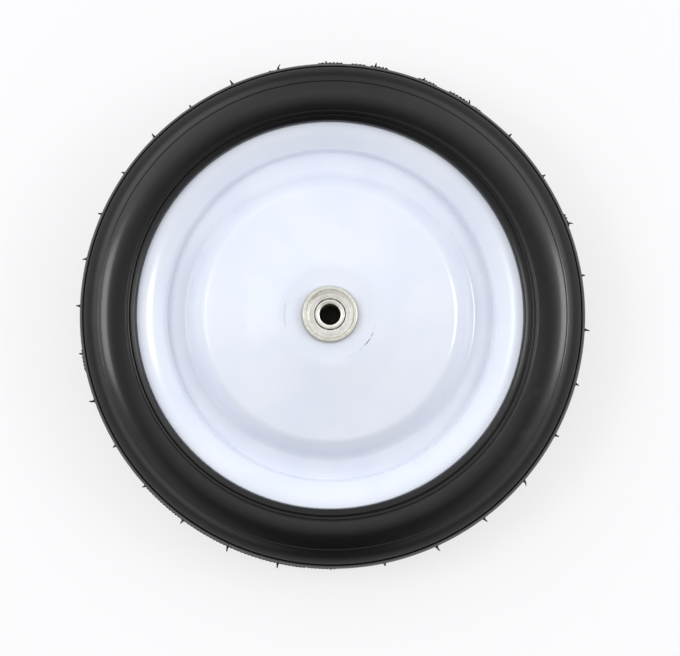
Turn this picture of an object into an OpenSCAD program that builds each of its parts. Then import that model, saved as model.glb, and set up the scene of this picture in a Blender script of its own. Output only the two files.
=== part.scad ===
// Garden machine wheel, 12 x 1.75 inch: a semi-pneumatic rubber tyre on two pressed
// steel discs, with a plain ball bearing at each end of the hub.
//
// The origin is the wheel's centre, halfway between the two discs.
// +Z runs along the axle, out of the front face. All sizes are in millimetres.

/* [Tyre] */
// Outside diameter over the tread, without the moulding nubs
tyre_od = 304.8; // [280:0.1:330]
// Width over the sidewalls
tyre_w = 44.45; // [40:0.05:50]
// Radius at which the sidewall is widest
belly_r = 130; // [127:0.5:133]
// Thickness of the tread cap on the round carcass
cap_t = 0.6; // [0.4:0.05:1]
// Radius of the step from the sidewall to the tread cap
cap_edge_r = 138.9; // [136:0.1:141]
// Radius of the corner between the cap's side band and the tread face
tread_edge_r = 145.2; // [143:0.1:147]
// Width of each groove in the tread face
groove_w = 2; // [1:0.1:3]
// Depth of each groove in the tread face
groove_depth = 1.8; // [1:0.1:3]
// Distance from the middle of the tread to the inner pair of grooves
groove_pitch = 4.4; // [3.5:0.1:5]
// Radius of the round air chamber
chamber_r = 15; // [10:0.1:16]
// Gap between the disc's lip and the bead that stands up round it
lip_gap = 0.7; // [0.3:0.05:1]
// Width of the bead's broad ring, next to the lip
bead_w = 3.4; // [2.5:0.1:4]
// Width of the bead's narrow ring
bead_line_w = 1.5; // [1:0.1:2]
// Width of the groove between the bead's rings
bead_groove_w = 1; // [0.6:0.1:1.4]
// Depth of the groove between the bead's rings
bead_groove_depth = 0.8; // [0.4:0.1:1.2]

/* [Moulding nubs] */
// Number of nubs round the middle of the tread
nub_count = 31; // [20:1:40]
// Angle of the first nub
nub_start = 10.6; // [0:0.1:12]
// Diameter of a nub
nub_d = 1.2; // [0.8:0.1:1.6]
// Height of a nub above the tread
nub_h = 2.5; // [1.5:0.1:3.5]
// Diameter of the cone at a nub's foot
nub_foot_d = 2.8; // [2:0.1:4]
// Height of the cone at a nub's foot
nub_foot_h = 1; // [0.5:0.1:1.4]

/* [Discs] */
// Thickness of the sheet steel
sheet_t = 1.2; // [0.9:0.05:1.5]
// Radius of the flat round the hub
land_r = 27.1; // [25:0.1:30]
// Distance by which the hub tube stands above that flat
hub_proud = 4.2; // [3:0.1:6]
// Radius of the crease at the foot of the dome
crease_r = 50; // [47:0.1:53]
// Height of the disc above the wheel's middle at the crease
crease_h = 21.4; // [19:0.1:23]
// Radius at which the crown turns into the shoulder
shoulder_r = 76.3; // [74:0.1:78]
// Drop of the crown from the crease to the shoulder
crown_drop = 3.3; // [2:0.1:4.5]
// Radius of the valley where the two discs meet
valley_r = 99.3; // [98:0.1:100]
// Width of the flat where the two discs meet
valley_w = 2; // [1:0.1:3]
// Radius of the disc's lip
lip_r = 114.7; // [113:0.1:116]
// Height of the lip above the wheel's middle
lip_h = 13.5; // [12:0.1:15]
// Angle of the flange at its lip
lip_tilt = 9; // [4:0.5:14]
// Length of the collar that grips the hub tube
collar_len = 6; // [4:0.1:9]
// Outside radius of the bend between collar and disc
collar_bend = 2; // [1.6:0.1:3]

/* [Hub] */
// Length of the hub tube
hub_len = 60.3; // [56:0.1:64]
// Outside diameter of the hub tube
hub_od = 32.6; // [31.6:0.1:34]
// Height of the shoulder behind each bearing
seat_shoulder = 1.2; // [0.8:0.1:1.8]
// Distance from the hub tube's end down to the bearing's face
bearing_recess = 0.8; // [0.4:0.1:1.5]
// Rounding of the hub tube's outer edge
hub_round = 0.7; // [0.3:0.1:1]
// Wall of the spacer tube between the inner races
spacer_wall = 1.7; // [1.2:0.1:1.9]

/* [Bearings] */
// Axle bore, half an inch
axle_d = 12.7; // [12.5:0.05:12.9]
// Outside diameter of the bearing
bearing_od = 28.575; // [28.3:0.025:29]
// Width of the bearing
bearing_w = 7.938; // [7.6:0.05:8.4]
// Diameter of a ball
ball_d = 3.969; // [3.8:0.01:4.05]
// Number of balls
ball_count = 10; // [7:1:10]
// Radial play of a ball in its grooves
ball_play = 0.06; // [0.03:0.01:0.08]
// Radius of the inner race's shoulders
inner_shoulder_r = 8.7; // [8.6:0.05:8.9]
// Radius of the outer race's shoulders
outer_shoulder_r = 12; // [11.9:0.05:12.2]
// Radius of the shield's central hole
shield_hole_r = 9.35; // [9.2:0.05:9.5]
// Outside radius of the shield
shield_r = 12.95; // [12.7:0.05:13.1]
// Thickness of the shield
shield_t = 0.4; // [0.3:0.05:0.5]
// Height of the shield's crimped rim
shield_rim_h = 0.8; // [0.6:0.05:0.9]
// Distance from the bearing's face down to the shield
shield_recess = 0.45; // [0.3:0.05:0.6]
// Thickness of the ribbon that the cage is pressed from
ribbon_t = 0.4; // [0.3:0.05:0.45]
// Width of the ribbon
ribbon_w = 2.1; // [1.8:0.1:2.4]
// Diameter of a cage rivet's shank
rivet_d = 0.7; // [0.5:0.05:0.8]
// Diameter of a cage rivet's heads
rivet_head_d = 1.3; // [1.1:0.05:1.4]
// Height of a cage rivet's heads
rivet_head_h = 0.25; // [0.2:0.05:0.35]

/* [Hidden] */

rubber_black = "#1b1b1d";
enamel_white = "#eef2fa";
zinc_grey = "#b7b6ae";
bright_steel = "#d4d3cf";

// Degrees between two points of a rounded outline
turn_step = 6;
$fn = 96;

axle_r = axle_d / 2;
hub_r = hub_od / 2;
bearing_r = bearing_od / 2;
bearing_z = hub_len / 2 - bearing_recess - bearing_w / 2;
ball_r = ball_d / 2;
groove_r = ball_r + ball_play;
pitch_r = (axle_r + bearing_r) / 2;
edge_break = 0.35;

// Widths of the disc's rounded bends, across the radius
land_bend_w = 5;
crease_bend_w = 3;
shoulder_bend_w = 7;
fall_bend_w = 5;
flange_bend_w = 2;
flange_wall_w = 2.2;
flange_top_w = 3.5;

// The disc's section is a chain of straight and parabolic stretches. Each station is
// [radius, slope], the slope changes evenly from one station to the next, and the four
// slopes below make the chain meet the heights that are set above.
land_h = hub_len / 2 - hub_proud;
dome_slope = (land_h - crease_h) / (crease_r - land_r - (land_bend_w + crease_bend_w) / 2);
crown_slope = 2 * crown_drop / (shoulder_r - crease_r);
valley_in = valley_r - valley_w / 2;
valley_out = valley_r + valley_w / 2;
fall_slope = (crease_h - crown_drop - sheet_t - shoulder_bend_w * crown_slope / 2)
    / (valley_in - shoulder_r - (shoulder_bend_w + fall_bend_w) / 2);
lip_slope = tan(lip_tilt);
flange_top_r = valley_out + flange_bend_w + flange_wall_w + flange_top_w;
flange_slope = (lip_h - sheet_t - lip_slope * (lip_r - flange_top_r + flange_top_w / 2))
    / (flange_bend_w / 2 + flange_wall_w + flange_top_w / 2);
disc_stations = [
    [hub_r + collar_bend, 0],
    [land_r, 0],
    [land_r + land_bend_w, -dome_slope],
    [crease_r - crease_bend_w, -dome_slope],
    [crease_r, 0],
    [shoulder_r, -crown_slope],
    [shoulder_r + shoulder_bend_w, -fall_slope],
    [valley_in - fall_bend_w, -fall_slope],
    [valley_in, 0],
    [valley_out, 0],
    [valley_out + flange_bend_w, flange_slope],
    [valley_out + flange_bend_w + flange_wall_w, flange_slope],
    [flange_top_r, lip_slope],
    [lip_r, lip_slope]
];
seat_station = 10;
last_station = len(disc_stations) - 1;

// Height of station i
function station_h(i) = i == 0 ? land_h : station_h(i - 1)
    + (disc_stations[i][0] - disc_stations[i - 1][0])
    * (disc_stations[i][1] + disc_stations[i - 1][1]) / 2;

// [radius, height, slope] at the share t of the way from station i to the next
function disc_at(i, t) =
    let (a = disc_stations[i], b = disc_stations[i + 1], r = a[0] + t * (b[0] - a[0]),
         s = a[1] + t * (b[1] - a[1]))
    [r, station_h(i) + (r - a[0]) * (a[1] + s) / 2, s];

// Number of straight pieces that a stretch is drawn with
function stretch_steps(i) =
    max(1, ceil(abs(atan(disc_stations[i + 1][1]) - atan(disc_stations[i][1])) / turn_step));

// All points of the section from one station to another
function disc_run(from, to) = [
    for (i = [from : to - 1])
        for (k = [0 : stretch_steps(i) - 1])
            disc_at(i, k / stretch_steps(i)),
    disc_at(to - 1, 1)
];

// The point one sheet thickness behind a point of the disc's face
function behind(p) = [p[0], p[1]] + sheet_t / sqrt(1 + p[2] * p[2]) * [p[2], -1];

function reversed(list) = [for (i = [len(list) - 1 : -1 : 0]) list[i]];

// Points of an arc about a centre
function arc(centre, r, from, to) =
    let (n = max(2, ceil(abs(to - from) / turn_step)))
    [for (k = [0 : n]) centre + r * [cos(from + (to - from) * k / n), sin(from + (to - from) * k / n)]];

// The tyre's round section: radius and height at an angle from the equator, with the
// surface moved out by a distance
carcass_a = tyre_od / 2 - cap_t - belly_r;
carcass_b = tyre_w / 2;
function section_at(angle, out = 0) =
    [belly_r + (carcass_a + out) * cos(angle), (carcass_b + out) * sin(angle)];
function section_angle(r, out = 0) = acos((r - belly_r) / (carcass_a + out));
function section_arc(from, to, out = 0) =
    let (n = max(1, ceil(abs(to - from) / turn_step)))
    [for (k = [0 : n]) section_at(from + (to - from) * k / n, out)];
function section_run(from_r, to_r, out = 0) =
    section_arc(section_angle(from_r, out), section_angle(to_r, out), out);

bead_in = lip_r + lip_gap;
bead_corner = 0.6;
tread_corner = 2;
bead_out = bead_in + bead_w;
line_in = bead_out + bead_groove_w;
line_out = line_in + bead_line_w;
side_in = line_out + bead_groove_w;
rim_seat = [for (p = disc_run(seat_station, last_station)) behind(p)];
lip_back = rim_seat[len(rim_seat) - 1];

// Upper half of the tyre's section, from the rim seat out to the equator
tyre_half = concat(
    rim_seat,
    [[bead_in, lip_back[1] + lip_slope * (bead_in - lip_back[0])]],
    [[bead_in, section_at(section_angle(bead_in))[1] - bead_corner]],
    section_run(bead_in + bead_corner, bead_out),
    section_run(bead_out + bead_groove_w / 4, line_in - bead_groove_w / 4, -bead_groove_depth),
    section_run(line_in, line_out),
    section_run(line_out + bead_groove_w / 4, side_in - bead_groove_w / 4, -bead_groove_depth / 2),
    section_run(side_in, cap_edge_r),
    section_run(cap_edge_r + cap_t / 2, tread_edge_r, cap_t),
    section_arc(section_angle(tread_edge_r, cap_t) - tread_corner, 0, cap_t)
);

module tyre_section() {
    polygon(concat(
        tyre_half,
        [for (p = reversed(tyre_half)) if (p[1] > 0.01) [p[0], -p[1]]]
    ));
}

// One groove round the tread, square to the surface
module tread_groove(z) {
    angle = asin(z / (carcass_b + cap_t));
    p = section_at(angle, cap_t);
    rotate_extrude()
        translate(p)
            rotate(angle)
                translate([-groove_depth, -groove_w / 2])
                    square([2 * groove_depth, groove_w]);
}

module nub() {
    sunk = groove_depth;
    translate([tyre_od / 2 - sunk, 0, 0])
        rotate([0, 90, 0]) {
            cylinder(d = nub_d, h = nub_h + sunk, $fn = 24);
            cylinder(d1 = nub_foot_d + 2 * sunk, d2 = nub_d, h = nub_foot_h + sunk, $fn = 24);
        }
}

module tyre() {
    color(rubber_black) {
        difference() {
            rotate_extrude()
                tyre_section();
            rotate_extrude()
                translate([belly_r, 0])
                    circle(r = chamber_r);
            for (side = [-1, 1])
                for (row = [1, 3])
                    tread_groove(side * row * groove_pitch * 0.9);
        }
        for (i = [0 : nub_count - 1])
            rotate(nub_start + i * 360 / nub_count)
                nub();
    }
}

// Pressed disc: collar, bend, dished face and flange, one sheet thick throughout
module disc_section() {
    bend_centre = [hub_r + collar_bend, land_h - collar_bend];
    face = disc_run(0, last_station);
    collar_foot = land_h - collar_len;
    polygon(concat(
        [[hub_r, collar_foot]],
        arc(bend_centre, collar_bend, 180, 90),
        [for (i = [1 : len(face) - 1]) [face[i][0], face[i][1]]],
        reversed([for (i = [1 : len(face) - 1]) behind(face[i])]),
        arc(bend_centre, collar_bend - sheet_t, 90, 180),
        [[hub_r + sheet_t, collar_foot]]
    ));
}

module pressed_disc() {
    color(enamel_white)
        rotate_extrude()
            disc_section();
}

module front_disc() {
    pressed_disc();
}

module rear_disc() {
    mirror([0, 0, 1])
        pressed_disc();
}

module hub_tube() {
    seat_depth = bearing_recess + bearing_w;
    end_z = hub_len / 2;
    half = concat(
        [[bearing_r - seat_shoulder, end_z - seat_depth], [bearing_r, end_z - seat_depth]],
        [[bearing_r, end_z - edge_break], [bearing_r + edge_break, end_z]],
        arc([hub_r - hub_round, end_z - hub_round], hub_round, 90, 0)
    );
    color(zinc_grey)
        rotate_extrude()
            polygon(concat(half, [for (p = reversed(half)) [p[0], -p[1]]]));
}

module spacer_tube() {
    bore_r = axle_r + 0.1;
    length = 2 * bearing_z - bearing_w;
    color(zinc_grey)
        rotate_extrude()
            translate([bore_r, -length / 2])
                square([spacer_wall, length]);
}

// The bearing's pieces are drawn about its own middle, with +Z out of the hub
module outer_race() {
    half_w = bearing_w / 2;
    seat_h = half_w - shield_recess - shield_rim_h;
    half = [
        [outer_shoulder_r, seat_h], [shield_r, seat_h], [shield_r, half_w - edge_break / 2],
        [shield_r + edge_break / 2, half_w], [bearing_r - edge_break, half_w],
        [bearing_r, half_w - edge_break]
    ];
    color(bright_steel)
        rotate_extrude()
            difference() {
                polygon(concat(half, [for (p = reversed(half)) [p[0], -p[1]]]));
                translate([pitch_r, 0])
                    circle(r = groove_r);
            }
}

module inner_race() {
    half_w = bearing_w / 2;
    mouth_w = 1.1;
    mouth_h = 0.5;
    nose_r = 0.6;
    half = concat(
        [[axle_r, half_w - mouth_h], [axle_r + mouth_w, half_w]],
        arc([inner_shoulder_r - nose_r, half_w - nose_r], nose_r, 90, 0)
    );
    color(bright_steel)
        rotate_extrude()
            difference() {
                polygon(concat(half, [for (p = reversed(half)) [p[0], -p[1]]]));
                translate([pitch_r, 0])
                    circle(r = groove_r);
            }
}

module balls() {
    color(bright_steel)
        at_balls()
            sphere(r = ball_r);
}

// Upper half of the ribbon cage: a flat ring with a round pocket over each ball
module cage_half() {
    pocket_r = ball_r + ball_play;
    dome_r = pocket_r + ribbon_t;
    color(bright_steel)
        difference() {
            intersection() {
                union() {
                    translate([0, 0, -ribbon_t])
                        cylinder(r = bearing_r, h = 2 * ribbon_t);
                    at_balls()
                        sphere(r = dome_r);
                }
                rotate_extrude()
                    translate([pitch_r - ribbon_w / 2, 0])
                        square([ribbon_w, bearing_w]);
            }
            at_balls()
                sphere(r = pocket_r);
            at_balls(0.5)
                cylinder(d = rivet_d, h = 4 * ribbon_t, center = true);
        }
}

// Repeats a piece at every ball, or at a share of the step past it
module at_balls(share = 0) {
    for (i = [0 : ball_count - 1])
        rotate((i + share) * 360 / ball_count)
            translate([pitch_r, 0, 0])
                children();
}

module cage_rivets() {
    color(bright_steel)
        at_balls(0.5) {
            cylinder(d = rivet_d, h = 2 * ribbon_t, center = true, $fn = 24);
            for (side = [0, 1])
                mirror([0, 0, side])
                    translate([0, 0, ribbon_t])
                        cylinder(d1 = rivet_head_d, d2 = rivet_d, h = rivet_head_h, $fn = 24);
        }
}

// Shield: a thin washer with a deeper rim, crimped into the outer race's step
module shield() {
    top = bearing_w / 2 - shield_recess;
    rim_w = 0.5;
    color(zinc_grey)
        rotate_extrude()
            polygon([
                [shield_hole_r, top], [shield_r, top], [shield_r, top - shield_rim_h],
                [shield_r - rim_w, top - shield_rim_h], [shield_r - rim_w, top - shield_t],
                [shield_hole_r, top - shield_t]
            ]);
}

// Places a bearing piece at the front (side = 1) or the rear (side = -1) of the hub
module at_bearing(side) {
    mirror([0, 0, side < 0 ? 1 : 0])
        translate([0, 0, bearing_z])
            children();
}

// Turns a piece over, so that it faces the wheel's middle
module turned_in() {
    mirror([0, 0, 1])
        children();
}

tyre();
front_disc();
rear_disc();
hub_tube();
spacer_tube();
at_bearing(1) outer_race();  // front_outer_race
at_bearing(1) inner_race();  // front_inner_race
at_bearing(1) balls();  // front_balls
at_bearing(1) cage_half();  // front_cage_outer_half
at_bearing(1) turned_in() cage_half();  // front_cage_inner_half
at_bearing(1) cage_rivets();  // front_cage_rivets
at_bearing(1) shield();  // front_outer_shield
at_bearing(1) turned_in() shield();  // front_inner_shield
at_bearing(-1) outer_race();  // rear_outer_race
at_bearing(-1) inner_race();  // rear_inner_race
at_bearing(-1) balls();  // rear_balls
at_bearing(-1) cage_half();  // rear_cage_outer_half
at_bearing(-1) turned_in() cage_half();  // rear_cage_inner_half
at_bearing(-1) cage_rivets();  // rear_cage_rivets
at_bearing(-1) shield();  // rear_outer_shield
at_bearing(-1) turned_in() shield();  // rear_inner_shield
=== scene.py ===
"""A garden machine wheel lying on a white sweep, seen from above.

Lengths are written in millimetres and become metres where a mesh is made. The wheel's
centre is the origin, and +Z runs along the axle, out of the face that the camera sees.
"""

import math

import bpy
import numpy as np
from mathutils import Matrix, Vector


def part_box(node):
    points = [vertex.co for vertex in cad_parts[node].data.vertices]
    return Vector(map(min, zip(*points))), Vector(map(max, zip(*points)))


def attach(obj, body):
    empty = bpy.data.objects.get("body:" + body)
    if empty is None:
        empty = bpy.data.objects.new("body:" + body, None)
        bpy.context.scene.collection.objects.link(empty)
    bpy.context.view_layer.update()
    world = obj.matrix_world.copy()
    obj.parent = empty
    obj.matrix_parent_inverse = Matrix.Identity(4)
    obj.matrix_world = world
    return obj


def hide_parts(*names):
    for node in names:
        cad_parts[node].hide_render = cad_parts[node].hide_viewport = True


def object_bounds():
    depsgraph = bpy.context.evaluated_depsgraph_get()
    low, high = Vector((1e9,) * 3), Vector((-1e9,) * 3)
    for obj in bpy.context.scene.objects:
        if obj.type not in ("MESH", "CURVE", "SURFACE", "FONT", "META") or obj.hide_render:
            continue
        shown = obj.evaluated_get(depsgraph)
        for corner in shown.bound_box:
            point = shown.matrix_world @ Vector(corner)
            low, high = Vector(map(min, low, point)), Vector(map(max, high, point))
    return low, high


MM = 0.001
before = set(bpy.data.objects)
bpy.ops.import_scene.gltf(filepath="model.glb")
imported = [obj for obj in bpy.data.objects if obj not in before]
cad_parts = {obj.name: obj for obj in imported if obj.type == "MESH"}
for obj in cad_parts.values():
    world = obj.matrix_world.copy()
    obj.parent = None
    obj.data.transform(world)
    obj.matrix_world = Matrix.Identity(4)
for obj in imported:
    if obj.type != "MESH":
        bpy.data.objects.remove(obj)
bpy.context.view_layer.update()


def reach(node):
    """Outer radius and top height of a CAD node, in millimetres."""
    low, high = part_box(node)
    return (high.x - low.x) / 2 / MM, high.z / MM


HUB_R, HUB_TOP = reach("hub_tube")
RACE_R, RACE_TOP = reach("front_outer_race")
NOSE_R, NOSE_TOP = reach("front_inner_race")
SHIELD_R, SHIELD_TOP = reach("front_outer_shield")
TYRE_HALF_W = reach("tyre")[1]
RACE_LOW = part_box("front_outer_race")[0].z / MM
FLOOR_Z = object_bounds()[0][2]

# Disc
SHEET_T = 1.2
HUB_PROUD = 4.2
LAND_R = 27.1
LAND_H = HUB_TOP - HUB_PROUD
LIP_R = 114.7
LIP_H = 15.4
COLLAR_LEN = 6.0
COLLAR_BEND = 2.0

# Corners of the disc's face: radius, height, half the width of the rounded bend there
DISC_CORNERS = np.array([
    (HUB_R + COLLAR_BEND, LAND_H, 0.0),
    (LAND_R + 2.5, LAND_H, 2.5),
    (50.3, 21.3, 2.0),
    (78.0, 16.6, 4.5),
    (85.6, 1.6, 2.2),
    (98.6, SHEET_T, 0.4),
    (99.9, 7.2, 0.6),
    (108.7, 14.0, 3.2),
    (LIP_R, LIP_H, 0.0),
])

# Tyre
TYRE_R = 152.4
BELLY_R = 130.0
CAP_T = 0.6
OUTER_REACH = TYRE_R - CAP_T - BELLY_R
INNER_REACH = 28.0
CAP_EDGE_R = 138.9
CAP_LINE_STEP = 0.62
TREAD_EDGE_R = 145.2
GROOVE_W = 2.0
GROOVE_DEPTH = 1.8
GROOVE_STEP = 3.96
BEAD_IN = LIP_R + 0.7
BEAD_W = 3.4
BEAD_GROOVE_W = 1.0
BEAD_GROOVE_DEPTH = 0.8
BEAD_LINE_W = 1.5
BEAD_CORNER = 0.6
TYRE_OFF_CENTRE = 1.4
SEAT_FROM_R = 99.2

# Bearing
AXLE_R = 6.35
BALL_GROOVE_R = 2.045
BALL_PITCH_R = (AXLE_R + RACE_R) / 2
OUTER_SHOULDER_R = 12.0
SHIELD_HOLE_R = 9.35

# Nubs and flash along the middle of the tread
NUB_COUNT = 31
NUB_START = 6.2
NUB_SWAY = 4.6
NUB_SWAY_FROM = 50.0
NUB_FOOT_R = 1.4
NUB_HEIGHTS = (0.62, 1.25)
NUB_LEAN = 0.28

# Stretches of thin rubber skin left at the parting line: start, end, height
FLASH = (
    (20.5, 24.0, 1.5), (53.5, 56.5, 1.0), (57.5, 62.8, 1.6), (65.5, 70.3, 1.4),
    (77.0, 81.5, 1.6), (82.0, 86.0, 1.2), (87.5, 93.5, 1.4), (103.5, 105.0, 1.0),
    (187.5, 193.0, 1.1), (222.0, 264.0, 0.8), (264.0, 271.0, 0.5),
)
FLASH_STEP = 0.2
FLASH_FOOT = 0.45
FLASH_ROOT_R = TYRE_R - 0.8

# Points round each lathed piece
TYRE_TURNS = 300
DISC_TURNS = 270
HUB_TURNS = 200
BEARING_TURNS = 160

CAMERA_AT = Vector((4.8, -30.3, 1100.0)) * MM
CAMERA_AIM = Vector((5.9, -7.5, 0.0)) * MM
CAMERA_LENS = 96.48

# Each lamp's place and size, and half the width of the sweep, in metres
RIGHT_LAMP = (1.23, 0.06, 1.01), (0.6, 0.5)
LEFT_LAMP = (-0.99, 0.06, 1.2), (0.6, 0.48)
SWEEP_HALF = 3.0


# Shapes


def disc_face(step=1.0, turn=2.0):
    """Radius, height and slope along the disc's face.

    The corners are joined by straights of slope s, and each bend is a parabola from one
    straight to the next: h = h0 + s0 * (r - r0) + (s1 - s0) * w * t^2, with t running from
    0 to 1 across its width of 2 * w.
    """
    r, h, w = DISC_CORNERS.T
    slope = np.diff(h) / np.diff(r)
    rows = [[(r[0], h[0], slope[0])]]
    for i, (s0, s1) in enumerate(zip(slope[:-1], slope[1:]), 1):
        start = rows[-1][-1][0]
        n = max(2, math.ceil((r[i] - w[i] - start) / step / 3))
        flat = start + (r[i] - w[i] - start) * np.arange(1, n) / n
        rows.append(np.stack([flat, h[i] + s0 * (flat - r[i]), np.full(n - 1, s0)], 1))
        bend = abs(math.degrees(math.atan(s1) - math.atan(s0)))
        t = np.linspace(0, 1, max(3, math.ceil(bend / turn) + 1))
        along = r[i] - w[i] + 2 * w[i] * t
        white_lift_and_painted_shade = h[i] + s0 * (along - r[i]) + (s1 - s0) * w[i] * t * t
        rows.append(np.stack([along, white_lift_and_painted_shade, s0 + (s1 - s0) * t], 1))
    rows.append([(r[-1], h[-1], slope[-1])])
    return np.concatenate(rows)


def behind(face, depth=SHEET_T):
    """Points at a depth square behind the face: (r, h) + depth * (s, -1) / sqrt(1 + s^2)."""
    r, h, s = face.T
    k = depth / np.sqrt(1 + s * s)
    return np.stack([r + k * s, h - k], 1)


def arc(centre, radius, start, end, count=8):
    """Points centre + radius * (cos a, sin a), with a running evenly from start to end."""
    a = np.radians(np.linspace(start, end, count))
    return np.stack([centre[0] + radius * np.cos(a), centre[1] + radius * np.sin(a)], 1)


def disc_outline():
    """Closed section of the disc: bend and face, round lip, back of the face and collar."""
    face = disc_face()
    bend_at = (HUB_R + COLLAR_BEND, LAND_H - COLLAR_BEND)
    foot = LAND_H - COLLAR_LEN
    middle = behind(face[-1:], SHEET_T / 2)[0]
    tilt = math.degrees(math.atan(face[-1, 2]))
    lip = arc(middle, SHEET_T / 2, 90 + tilt, -90 + tilt, 9)
    return np.concatenate([
        [(HUB_R, foot)], arc(bend_at, COLLAR_BEND, 180, 90)[:-1], face[:-1, :2],
        lip, behind(face[:-1])[::-1], arc(bend_at, COLLAR_BEND - SHEET_T, 90, 180)[1:],
        [(HUB_R + SHEET_T, foot)],
    ])


def carcass(angle, out=0.0):
    """Point of the tyre's oval section at an angle from the equator, moved out by a distance."""
    angle = np.radians(angle)
    across = np.where(angle < math.pi / 2, OUTER_REACH, INNER_REACH) + out
    return np.stack([BELLY_R + across * np.cos(angle), (TYRE_HALF_W + out) * np.sin(angle)], -1)


def carcass_angle(radius, out=0.0):
    """Angle at which that oval reaches a radius on its upper half."""
    across = OUTER_REACH if radius > BELLY_R else INNER_REACH
    return math.degrees(math.acos((radius - BELLY_R) / (across + out)))


def carcass_run(r0, r1, out=0.0, turn=3.0):
    """Points of the oval from one radius to another."""
    a0, a1 = carcass_angle(r0, out), carcass_angle(r1, out)
    return carcass(np.linspace(a0, a1, max(2, math.ceil(abs(a1 - a0) / turn) + 1)), out)


def eased(points, reach_mm, sharp=12.0, count=4):
    """The outline with each corner sharper than an angle eased into a short parabola.

    The parabola leaves and meets the two sides at the reach, or at two fifths of a shorter
    side, and a further point on each long side keeps the shading of the flats even.
    """
    before, after = np.roll(points, 1, 0) - points, np.roll(points, -1, 0) - points
    la, lb = np.linalg.norm(before, axis=1), np.linalg.norm(after, axis=1)
    turn = 180 - np.degrees(np.arccos(np.clip((before * after).sum(1) / (la * lb), -1, 1)))
    t = np.linspace(0, 1, count)[:, None]
    out = []
    for p, a, b, na, nb, bend in zip(points, before, after, la, lb, turn):
        if bend < sharp:
            out.append(p[None])
            continue
        da, db = min(reach_mm, 0.4 * na), min(reach_mm, 0.4 * nb)
        start, end = p + a / na * da, p + b / nb * db
        curve = (1 - t) ** 2 * start + 2 * t * (1 - t) * p + t * t * end
        lead = [(p + a / na * 2.2 * da)[None]] if na > 5 * da else []
        tail = [(p + b / nb * 2.2 * db)[None]] if nb > 5 * db else []
        out.append(np.concatenate([*lead, curve, *tail]))
    return np.concatenate(out)


def tread_run():
    """The tread face from its edge to the equator, with the grooves cut square to it."""
    edge = carcass_angle(TREAD_EDGE_R, CAP_T) - 2
    half = math.degrees(GROOVE_W / 2 / TYRE_HALF_W)
    points, angle = [], edge
    for row in (3, 1):
        at = math.degrees(math.asin(row * GROOVE_STEP / (TYRE_HALF_W + CAP_T)))
        points.append(carcass(np.linspace(angle, at + half, 6), CAP_T))
        points.append(carcass(np.array([at + half, at - half]), CAP_T - GROOVE_DEPTH))
        angle = at - half
    points.append(carcass(np.linspace(angle, 0, 4), CAP_T))
    return np.concatenate(points)


def tyre_outline():
    """Closed section of the tyre: rim seat, bead rings, sidewall, cap and tread, both halves."""
    bead_out = BEAD_IN + BEAD_W
    line_in = bead_out + BEAD_GROOVE_W
    line_out = line_in + BEAD_LINE_W
    side_in = line_out + BEAD_GROOVE_W
    inset = BEAD_GROOVE_W / 4
    face = disc_face()
    seat = behind(face[face[:, 0] > SEAT_FROM_R])[::3]
    bead_top = carcass(carcass_angle(BEAD_IN))[1] - BEAD_CORNER
    half = np.concatenate([
        seat,
        [(BEAD_IN, seat[-1, 1]), (BEAD_IN, bead_top)],
        carcass_run(BEAD_IN + BEAD_CORNER, bead_out),
        carcass_run(bead_out + inset, line_in - inset, -BEAD_GROOVE_DEPTH),
        carcass_run(line_in, line_out),
        carcass_run(line_out + inset, side_in - inset, -BEAD_GROOVE_DEPTH / 2),
        carcass_run(side_in, CAP_EDGE_R, turn=2.5),
        carcass_run(CAP_EDGE_R + CAP_T / 2, TREAD_EDGE_R, CAP_T),
        tread_run(),
    ])
    lower = half[::-1] * (1, -1)
    return eased(np.concatenate([half, lower[1:]]), 0.3)


def facing_out(outline):
    """The closed outline, turned so that a lathe of it faces outwards."""
    r, h = outline.T
    area = np.sum(r * np.roll(h, -1) - np.roll(r, -1) * h)
    return outline if area > 0 else outline[::-1]


def put(name, points, quads, finish, body, node=None):
    """A smooth mesh of points in millimetres, which rides on a body and stands for a node."""
    mesh = bpy.data.meshes.new(name)
    mesh.vertices.add(len(points))
    mesh.vertices.foreach_set("co", (points * MM).astype(np.float32).ravel())
    mesh.loops.add(quads.size)
    mesh.loops.foreach_set("vertex_index", quads.astype(np.int32).ravel())
    mesh.polygons.add(len(quads))
    starts = np.arange(0, quads.size, quads.shape[1], dtype=np.int32)
    mesh.polygons.foreach_set("loop_start", starts)
    mesh.polygons.foreach_set("use_smooth", np.ones(len(quads), bool))
    mesh.update(calc_edges=True)
    mesh.validate()
    mesh.materials.append(finish)
    piece = bpy.data.objects.new(name, mesh)
    bpy.context.scene.collection.objects.link(piece)
    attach(piece, body)
    if node:
        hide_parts(node)
    return piece


def ring_quads(turns, count):
    """Quads that join a closed grid of turns by count points, round both ways."""
    i, j = np.meshgrid(np.arange(turns), np.arange(count), indexing="ij")
    i2, j2 = (i + 1) % turns, (j + 1) % count
    corners = [i * count + j, i2 * count + j, i2 * count + j2, i * count + j2]
    return np.stack(corners, -1).reshape(-1, 4)


def turned(outline, turns, shape=None):
    """Grid of a lathe: (r cos a, r sin a, h) for every turn a and outline point (r, h)."""
    outline = facing_out(outline)
    a = np.linspace(0, 2 * math.pi, turns, endpoint=False)[:, None]
    r, h = outline[None, :, 0], outline[None, :, 1]
    if shape:
        r, h = shape(a, r, h)
    grid = np.stack([r * np.cos(a), r * np.sin(a), np.broadcast_to(h, (turns, len(outline)))], -1)
    return grid.reshape(-1, 3), ring_quads(turns, len(outline))


def off_centre(a, r, h):
    """The tyre's outside sits a little to one side: r grows by e cos a beyond the bead."""
    share = np.clip((r - BEAD_IN - 1) / 8, 0, 1)
    share = share * share * (3 - 2 * share)
    return r + TYRE_OFF_CENTRE * share * np.cos(a), h


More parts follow.
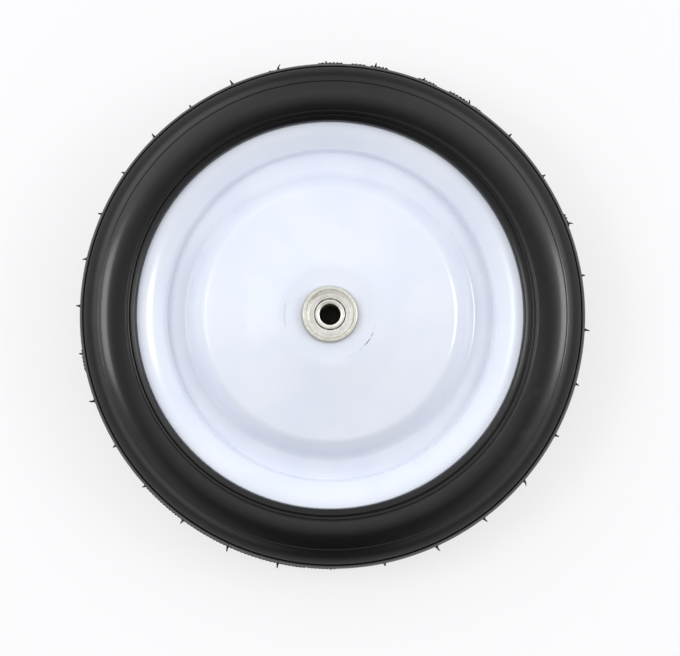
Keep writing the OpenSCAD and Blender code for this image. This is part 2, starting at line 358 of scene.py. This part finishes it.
def nub_angles():
    """Angles of the nubs: even steps, swaying by a few degrees once round the tyre."""
    even = np.arange(NUB_COUNT) * 360 / NUB_COUNT
    return np.radians(NUB_START + even + NUB_SWAY * np.cos(np.radians(even - NUB_SWAY_FROM)))


def make_nubs(finish):
    """Thin rubber spikes: a flared foot that narrows to a leaning, slightly ragged tip."""
    rng = np.random.default_rng(12)
    sides = 10
    along = np.array([-1.2, 0.0, 0.25, 0.6, 1.1, 1.6, 2.2, 2.8])
    radius = np.array([1.7, 1.0, 0.78, 0.55, 0.42, 0.36, 0.3, 0.12]) * NUB_FOOT_R
    height = rng.uniform(*NUB_HEIGHTS, NUB_COUNT)
    height[23] = 0.3
    lean = rng.normal(0, NUB_LEAN, (NUB_COUNT, 2))
    ring = np.arange(sides) * 2 * math.pi / sides
    h = np.where(along > 0, along * height[:, None], along)
    bend = np.clip(h, 0, None) ** 2 / 3
    out = TYRE_R + h[:, :, None]
    side = radius[None, :, None] * np.cos(ring) + (lean[:, :1] * bend)[:, :, None]
    up = radius[None, :, None] * np.sin(ring) + (lean[:, 1:] * bend)[:, :, None]
    a = nub_angles()[:, None, None]
    points = np.stack([
        out * np.cos(a) - side * np.sin(a) + TYRE_OFF_CENTRE, out * np.sin(a) + side * np.cos(a),
        np.broadcast_to(up, out.shape[:2] + (sides,)),
    ], -1)
    k = len(along)
    i, j = np.meshgrid(np.arange(k - 1), np.arange(sides), indexing="ij")
    j2 = (j + 1) % sides
    wall = np.stack([i * sides + j, i * sides + j2, (i + 1) * sides + j2, (i + 1) * sides + j], -1)
    e = np.arange(1, sides // 2)
    top = (k - 1) * sides + np.stack([e - 1, e, sides - 1 - e, sides - e], -1)
    foot = np.stack([sides - e, sides - 1 - e, e, e - 1], -1)
    one = np.concatenate([wall.reshape(-1, 4), top, foot])
    quads = (one[None] + np.arange(NUB_COUNT)[:, None, None] * k * sides).reshape(-1, 4)
    put("tyre_nubs", points.reshape(-1, 3), quads, finish, "wheel")


def make_flash(finish):
    """Ragged fins: the height is a sum of three sines of the angle, tapered at both ends."""
    all_points, all_quads, first = [], [], 0
    for start, end, height in FLASH:
        n = math.ceil((end - start) / FLASH_STEP) + 1
        deg = np.linspace(start, end, n)
        a = np.radians(deg)
        rag = 0.62 + 0.2 * np.sin(deg * 7.3) + 0.12 * np.sin(deg * 19.1 + 1)
        rag = rag + 0.1 * np.sin(deg * 41.7)
        taper = np.clip(np.minimum(deg - start, end - deg) / 0.6, 0, 1) ** 0.5
        tall = np.clip(height * rag, 0.1, None) * taper
        wave = 0.15 * np.sin(deg * 3.1)
        section = np.stack([
            np.stack([np.full(n, FLASH_ROOT_R), np.full(n, -FLASH_FOOT)], 1),
            np.stack([TYRE_R + tall, wave - 0.12], 1),
            np.stack([TYRE_R + tall, wave + 0.12], 1),
            np.stack([np.full(n, FLASH_ROOT_R), np.full(n, FLASH_FOOT)], 1),
        ], 1)
        r, h = section[..., 0], section[..., 1]
        a = a[:, None]
        ring = np.stack([r * np.cos(a) + TYRE_OFF_CENTRE, r * np.sin(a), h], -1)
        all_points.append(ring.reshape(-1, 3))
        i, j = np.meshgrid(np.arange(n - 1), np.arange(4), indexing="ij")
        j2 = (j + 1) % 4
        sides = np.stack([i * 4 + j, (i + 1) * 4 + j, (i + 1) * 4 + j2, i * 4 + j2], -1)
        ends = np.array([[0, 1, 2, 3], [4 * n - 1, 4 * n - 2, 4 * n - 3, 4 * n - 4]])
        all_quads.append(first + np.concatenate([sides.reshape(-1, 4), ends]))
        first += 4 * n
    points, quads = np.concatenate(all_points), np.concatenate(all_quads)
    put("tyre_flash", points, quads, finish, "wheel")


def hub_outline():
    """Hub tube: bearing seats with a shoulder behind each, and rolled outer edges."""
    seat_h = RACE_LOW
    half = np.concatenate([
        [(RACE_R - 1.2, seat_h), (RACE_R, seat_h), (RACE_R, HUB_TOP - 0.45)],
        [(RACE_R + 0.4, HUB_TOP - 0.05)],
        arc((HUB_R - 0.9, HUB_TOP - 0.9), 0.9, 90, 0),
    ])
    return eased(np.concatenate([half, half[::-1] * (1, -1)]), 0.15)


def outer_race_outline():
    """Outer race about the bearing's middle height: seat for each shield and the ball groove."""
    half_w = (RACE_TOP - RACE_LOW) / 2
    seat = half_w - (RACE_TOP - SHIELD_TOP) - 0.8
    shoulder = OUTER_SHOULDER_R
    groove_edge = math.sqrt(BALL_GROOVE_R ** 2 - (shoulder - BALL_PITCH_R) ** 2)
    sweep = math.degrees(math.atan2(groove_edge, shoulder - BALL_PITCH_R))
    half = np.concatenate([
        [(shoulder, seat), (SHIELD_R, seat), (SHIELD_R, half_w - 0.25)],
        [(SHIELD_R + 0.25, half_w), (RACE_R - 0.4, half_w), (RACE_R, half_w - 0.4)],
    ])
    groove = arc((BALL_PITCH_R, 0), BALL_GROOVE_R, -sweep, sweep, 11)
    return eased(np.concatenate([half, half[::-1] * (1, -1), groove]), 0.12, sharp=25)


def inner_race_outline():
    """Inner race about the bearing's middle height: wide bore chamfer, round nose and groove."""
    half_w = NOSE_TOP - (RACE_TOP + RACE_LOW) / 2
    groove_edge = math.sqrt(BALL_GROOVE_R ** 2 - (BALL_PITCH_R - NOSE_R) ** 2)
    sweep = math.degrees(math.atan2(groove_edge, BALL_PITCH_R - NOSE_R))
    half = np.concatenate([
        [(AXLE_R, half_w - 0.5), (AXLE_R + 1.1, half_w)],
        arc((NOSE_R - 0.6, half_w - 0.6), 0.6, 90, 0, 6),
    ])
    groove = arc((BALL_PITCH_R, 0), BALL_GROOVE_R, 180 - sweep, 180 + sweep, 11)
    return eased(np.concatenate([half, groove, half[::-1] * (1, -1)]), 0.12, sharp=25)


def shield_outline():
    """Outer shield: flat washer, a rolled bead at its rim and a turned-down inner edge."""
    top = SHIELD_TOP - (RACE_TOP + RACE_LOW) / 2
    hole, rim = SHIELD_HOLE_R, SHIELD_R
    return eased(np.array([
        (hole, top - 0.4), (hole, top - 0.05), (hole + 0.15, top), (rim - 0.75, top),
        (rim - 0.6, top - 0.12), (rim - 0.45, top - 0.02), (rim - 0.2, top + 0.02),
        (rim, top - 0.12), (rim, top - 0.8), (rim - 0.5, top - 0.8), (rim - 0.5, top - 0.4),
    ]), 0.08, sharp=25)


class Reading:
    """A shader socket that sums, products and comparisons can be written with."""

    def __init__(self, finish, socket):
        self.finish, self.socket = finish, socket

    def math(self, operation, *others):
        sockets = dict(enumerate((self, *others)))
        node = self.finish.node("Math", {"operation": operation}, sockets)
        return Reading(self.finish, node.outputs[0])

    def __add__(self, other):
        return self.math("ADD", other)

    def __sub__(self, other):
        return self.math("SUBTRACT", other)

    def __mul__(self, other):
        return self.math("MULTIPLY", other)

    def __truediv__(self, other):
        return self.math("DIVIDE", other)

    def __rsub__(self, other):
        return self.math("MULTIPLY", -1.0) + other

    __radd__, __rmul__ = __add__, __mul__

    def most(self, other):
        return self.math("MAXIMUM", other)

    def rise(self, low, high):
        """0 below low, 1 above high and a smooth step between; falls where low > high."""
        up, down = (low, high) if low < high else (high, low)
        ends = {"To Min": 0.0, "To Max": 1.0} if low < high else {"To Min": 1.0, "To Max": 0.0}
        node = self.finish.node("MapRange", {"interpolation_type": "SMOOTHSTEP"},
                                {"Value": self, "From Min": up, "From Max": down, **ends})
        return Reading(self.finish, node.outputs[0])

    def band(self, low, high, soft):
        """1 between low and high, fading out over soft at both ends."""
        return self.rise(low - soft, low + soft) * self.rise(high + soft, high - soft)


class Graph:
    """A node tree that nodes are added to by type, settings and sockets."""

    def __init__(self, owner):
        owner.use_nodes = True
        self.tree = owner.node_tree
        self.tree.nodes.clear()

    def node(self, kind, settings=None, sockets=None):
        """Any shader node: its settings first, then the value or link of each socket."""
        made = self.tree.nodes.new("ShaderNode" + kind)
        for key, value in (settings or {}).items():
            setattr(made, key, value)
        for key, value in (sockets or {}).items():
            if isinstance(value, Reading):
                value = value.socket
            if isinstance(value, bpy.types.NodeSocket):
                self.tree.links.new(value, made.inputs[key])
            else:
                made.inputs[key].default_value = value
        return made


class Finish(Graph):
    """A procedural material on Object coordinates, in millimetres."""

    def __init__(self, name):
        self.material = bpy.data.materials.new(name)
        super().__init__(self.material)
        self.shader = self.node("BsdfPrincipled")
        self.node("OutputMaterial", {}, {"Surface": self.shader.outputs[0]})
        where = self.node("TexCoord").outputs["Object"]
        scaled = self.node("VectorMath", {"operation": "SCALE"}, {0: where, "Scale": 1 / MM})
        self.place = scaled.outputs[0]
        parts = self.node("SeparateXYZ", {}, {0: self.place}).outputs
        self.x, self.y, self.z = (Reading(self, p) for p in parts)
        flat = self.x * self.x + self.y * self.y
        self.radius = flat.math("SQRT")
        self.angle = self.y.math("ARCTAN2", self.x) * math.degrees(1)

    def noise(self, size, detail=3.0, rough=0.5, at=(0, 0, 0)):
        """Soft noise about 0.5, with features of a size in millimetres."""
        scale = (1 / size,) * 3
        where = self.node("Mapping", {}, {"Vector": self.place, "Scale": scale, "Location": at})
        made = self.node("TexNoise", {}, {"Vector": where.outputs[0], "Scale": 1.0,
                                          "Detail": detail, "Roughness": rough})
        return Reading(self, made.outputs[0])

    def blend(self, share, under, over):
        """Colour mix from under to over by a share."""
        node = self.node("Mix", {"data_type": "RGBA"}, {0: share, 6: under, 7: over})
        return node.outputs[2]

    def bump(self, height, strength, distance):
        """Sends a height in millimetres to the shader's normal."""
        made = self.node("Bump", {}, {"Height": height, "Strength": strength, "Distance": distance})
        self.tree.links.new(made.outputs[0], self.shader.inputs["Normal"])

    def feed(self, **sockets):
        """Sets or links the shader's sockets, named with underscores for spaces."""
        for key, value in sockets.items():
            socket = self.shader.inputs[key.replace("_", " ")]
            if isinstance(value, Reading):
                value = value.socket
            if isinstance(value, bpy.types.NodeSocket):
                self.tree.links.new(value, socket)
            else:
                socket.default_value = value


def colour(r, g, b):
    """A colour from display values 0 to 255."""
    linear = [((c / 255 + 0.055) / 1.055) ** 2.4 if c > 10 else c / 255 / 12.92 for c in (r, g, b)]
    return (*linear, 1.0)


def rubber():
    """Moulded black rubber: glossy sidewall, duller tread with turning lines, dust and stains."""
    f = Finish("moulded_rubber")
    cloud = f.noise(9, 4, 0.6)
    fine = f.noise(0.7, 3, 0.6)
    around = f.radius - f.x / f.radius * TYRE_OFF_CENTRE
    cap = around.rise(CAP_EDGE_R - 0.3, CAP_EDGE_R + 0.3)
    dull = around.rise(CAP_EDGE_R + 2, CAP_EDGE_R + 5)
    inner = f.radius.rise(BEAD_IN + BEAD_W + 5, BEAD_IN + BEAD_W + 2)
    dust = f.noise(1.6, 5, 0.75, at=(31, 7, 3)).rise(0.69, 0.76)
    dust = dust * f.noise(24, 2, at=(5, 0, 9)).rise(0.5, 0.62)
    stain = f.noise(13, 4, 0.65, at=(3, 8, 1)).rise(0.53, 0.68) * f.angle.band(-42, -8, 8)
    base = f.blend(cloud.rise(0.3, 0.7), colour(2, 2, 2), colour(6, 5, 6))
    base = f.blend(stain * 0.3, base, colour(46, 37, 33))
    base = f.blend(dust * 0.35, base, colour(92, 88, 84))
    lines = (around * (2 * math.pi / CAP_LINE_STEP)).math("SINE") * cap
    lines = lines * f.noise(5, 3, at=(0, 4, 4)).rise(0.25, 0.7)
    height = lines * 0.02 + fine * 0.03 + f.noise(2.6, 3) * 0.03
    coat = (1 - dull * 0.8) * (1 - inner * 0.35) * (1 - dust * 0.5) * (0.8 + cloud * 0.2)
    f.feed(Base_Color=base, Roughness=0.42 + fine * 0.12 + dust * 0.2, Specular_IOR_Level=0.16,
           Coat_Weight=coat, Coat_Roughness=0.2)
    f.bump(height, 0.6, 0.001)
    return f.material


def enamel():
    """Cool white gloss enamel, faintly rippled, with a rub mark round the hub and a few specks."""
    f = Finish("white_enamel")
    cloud = f.noise(30, 3)
    base = f.blend(cloud.rise(0.3, 0.7), colour(231, 236, 248), colour(236, 240, 250))
    ripple = f.noise(3.2, 2, 0.5)
    rub = (f.radius + f.noise(5, 2) * 1.2 - 0.6).band(27.2, 27.7, 0.25)
    rub = rub * f.angle.band(-70, -8, 14) * f.noise(2.4, 4, 0.7).rise(0.35, 0.62)
    dark_rub = (f.radius + f.noise(4, 2) - 0.5).band(27.1, 27.9, 0.2) * f.angle.band(-41, -24, 3)
    faint_rub = f.radius.band(26.6, 27.4, 0.4) * f.angle.math("ABSOLUTE").band(164, 190, 4)
    speck = f.noise(1.1, 2, 0.5, at=(11, 3, 0)).rise(0.765, 0.79)
    base = f.blend(rub * 0.4, base, colour(140, 146, 160))
    base = f.blend(dark_rub * f.noise(1.5, 3).rise(0.35, 0.6) * 0.7, base, colour(96, 100, 110))
    base = f.blend(faint_rub * 0.25, base, colour(150, 156, 170))
    base = f.blend(speck * 0.5, base, colour(170, 170, 165))
    f.feed(Base_Color=base, Roughness=0.2 + rub * 0.3 + cloud * 0.06, Specular_IOR_Level=0.5)
    f.bump(ripple, 0.25, 0.00006)
    return f.material


def bare_metal(name, light, dark, rough, turning, rust, metallic):
    """Bare metal with faint turning lines, mottling and a rust spot beside the bearing's edge."""
    f = Finish(name)
    mottle = f.noise(1.8, 5, 0.65)
    broad = f.noise(7, 2)
    grain = f.noise(0.5, 2)
    rings = (f.radius * (2 * math.pi / turning) + mottle * 2).math("SINE")
    base = f.blend(mottle.rise(0.3, 0.7), dark, light)
    base = f.blend(broad.rise(0.45, 0.7) * 0.3, base, colour(190, 182, 160))
    if rust:
        spot = f.angle.band(122, 140, 4) * f.radius.band(12.6, 14.1, 0.3) * grain.rise(0.3, 0.6)
        base = f.blend(spot * rust, base, colour(104, 62, 36))
    f.feed(Base_Color=base, Metallic=metallic, Roughness=rough + mottle * 0.14 + rings * 0.02)
    f.bump(rings * 0.01 + mottle * 0.02, 0.4, 0.0005)
    return f.material


def sweep():
    """Pale sweep that keeps the shadow; camera rays see it lifted to white by a glow, which fades
    out under the wheel as painted shade.
    """
    f = Finish("white_sweep")
    path = f.node("LightPath").outputs
    seen = Reading(f, path["Is Camera Ray"]).most(Reading(f, path["Is Glossy Ray"]))
    seen = seen.most(Reading(f, path["Is Transmission Ray"]))
    # painted shade: the glow that lifts the floor to white fades out under the wheel, so the floor
    # there is darker
    white_lift_and_painted_shade = seen * f.radius.rise(BELLY_R - 20, TYRE_R - 8) * 0.66
    f.feed(Base_Color=f.blend(seen, colour(238, 238, 240), colour(152, 152, 154)), Roughness=0.9,
           Specular_IOR_Level=0.1, Emission_Strength=1.0,
           Emission_Color=f.blend(white_lift_and_painted_shade, (0.0, 0.0, 0.0, 1.0), (1.0, 1.0, 1.0, 1.0)))
    return f.material


def make_bearing(side, metals):
    """Visible bearing pieces at the front (side 1) or the rear (side -1) of the hub."""
    end = "front" if side > 0 else "rear"
    middle = (RACE_TOP + RACE_LOW) / 2
    rows = (
        ("outer_race", outer_race_outline(), "race", "race_steel", "wheel"),
        ("inner_race", inner_race_outline(), "race", "race_steel", "axle_line"),
        ("outer_shield", shield_outline(), "shield", "shield_steel", "wheel"),
    )
    for node, outline, metal, slot, body in rows:
        placed = (outline + (0, middle)) * (1, side)
        points, quads = turned(placed, BEARING_TURNS)
        put(f"{end}_{node}_turned", points, quads, metals[metal], body, f"{end}_{node}")


def make_wheel():
    """Every piece of the wheel, in its finish."""
    black, white = rubber(), enamel()
    metals = {
        "hub": bare_metal("zinc_plate", colour(232, 231, 220), colour(208, 207, 195),
                          0.34, turning=0.5, rust=0.5, metallic=0.35),
        "race": bare_metal("bearing_steel", colour(244, 242, 235), colour(226, 224, 216),
                           0.26, turning=0.3, rust=0.6, metallic=0.4),
        "shield": bare_metal("shield_steel", colour(236, 232, 227), colour(218, 214, 209),
                             0.36, turning=0.45, rust=0.0, metallic=0.35),
    }
    points, quads = turned(tyre_outline(), TYRE_TURNS, off_centre)
    put("tyre_moulding", points, quads, black, "wheel", "tyre")
    make_nubs(black)
    make_flash(black)
    for end, side in (("front", 1), ("rear", -1)):
        points, quads = turned(disc_outline() * (1, side), DISC_TURNS)
        put(f"{end}_disc_pressing", points, quads, white, "wheel", f"{end}_disc")
        make_bearing(side, metals)
    points, quads = turned(hub_outline(), HUB_TURNS)
    put("hub_tube_turned", points, quads, metals["hub"], "wheel", "hub_tube")
    for name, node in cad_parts.items():
        if not node.hide_render:
            metal = metals["hub"] if name == "spacer_tube" else metals["race"]
            node.data.materials.clear()
            node.data.materials.append(metal)


def make_camera():
    """Camera above the wheel, aimed a little beside its centre, with the picture's top to +Y."""
    data = bpy.data.cameras.new("camera")
    data.lens = CAMERA_LENS
    data.sensor_width = 36
    data.clip_end = 20
    camera = bpy.data.objects.new("camera", data)
    bpy.context.scene.collection.objects.link(camera)
    ahead = (CAMERA_AIM - CAMERA_AT).normalized()
    right = ahead.cross(Vector((0, 1, 0))).normalized()
    up = right.cross(ahead)
    camera.matrix_world = Matrix((
        (right.x, up.x, -ahead.x, CAMERA_AT.x),
        (right.y, up.y, -ahead.y, CAMERA_AT.y),
        (right.z, up.z, -ahead.z, CAMERA_AT.z),
        (0, 0, 0, 1),
    ))
    bpy.context.scene.camera = camera


def softbox(name, place, size, radiance, gloss_only=False):
    """Rectangular lamp at a place in metres, turned towards the wheel; it may add gloss alone."""
    data = bpy.data.lights.new(name, "AREA")
    data.shape = "RECTANGLE"
    data.size, data.size_y = size
    data.energy = radiance * math.pi * size[0] * size[1]
    lamp = bpy.data.objects.new(name, data)
    lamp.visible_diffuse = not gloss_only
    bpy.context.scene.collection.objects.link(lamp)
    lamp.location = place
    lamp.rotation_euler = (-Vector(place)).to_track_quat("-Z", "Y").to_euler()


def make_studio():
    """Floor, a softbox at each side and a pale world, brighter low down at the sides."""
    half = SWEEP_HALF
    mesh = bpy.data.meshes.new("sweep")
    mesh.from_pydata(
        [(x, y, FLOOR_Z) for x, y in ((-half, -half), (half, -half), (half, half), (-half, half))],
        [], [(0, 1, 2, 3)])
    mesh.materials.append(sweep())
    floor = bpy.data.objects.new("sweep", mesh)
    bpy.context.scene.collection.objects.link(floor)
    softbox("right_softbox", *RIGHT_LAMP, 5)
    softbox("right_gleam", *RIGHT_LAMP, 11, gloss_only=True)
    softbox("left_softbox", *LEFT_LAMP, 5.4)
    world = bpy.data.worlds.new("pale_room")
    bpy.context.scene.world = world
    room = Graph(world)
    toward = room.node("SeparateXYZ", {}, {0: room.node("TexCoord").outputs["Generated"]})
    x, y, z = (Reading(room, part) for part in toward.outputs)
    low = z.rise(0.75, 0.35)
    left, right = x.rise(-0.05, -0.6), x.rise(0.05, 0.6)
    top = y.rise(-0.2, 0.5)
    overhead = z.rise(0.85, 0.99)
    from_low = left * 1.1 + right * 0.8 + top * 0.5 + 0.04
    from_high = (left + right) * 0.6 + top * 0.8 + overhead * y.rise(-0.2, 0.1) * 0.3
    light = low * from_low + (1 - low) * from_high
    pale = room.node("Background", {}, {"Color": (0.97, 0.98, 1.0, 1.0), "Strength": light})
    room.node("OutputWorld", {}, {"Surface": pale.outputs[0]})


make_camera()
make_wheel()
make_studio()
bpy.context.scene.view_settings.view_transform = "Standard"
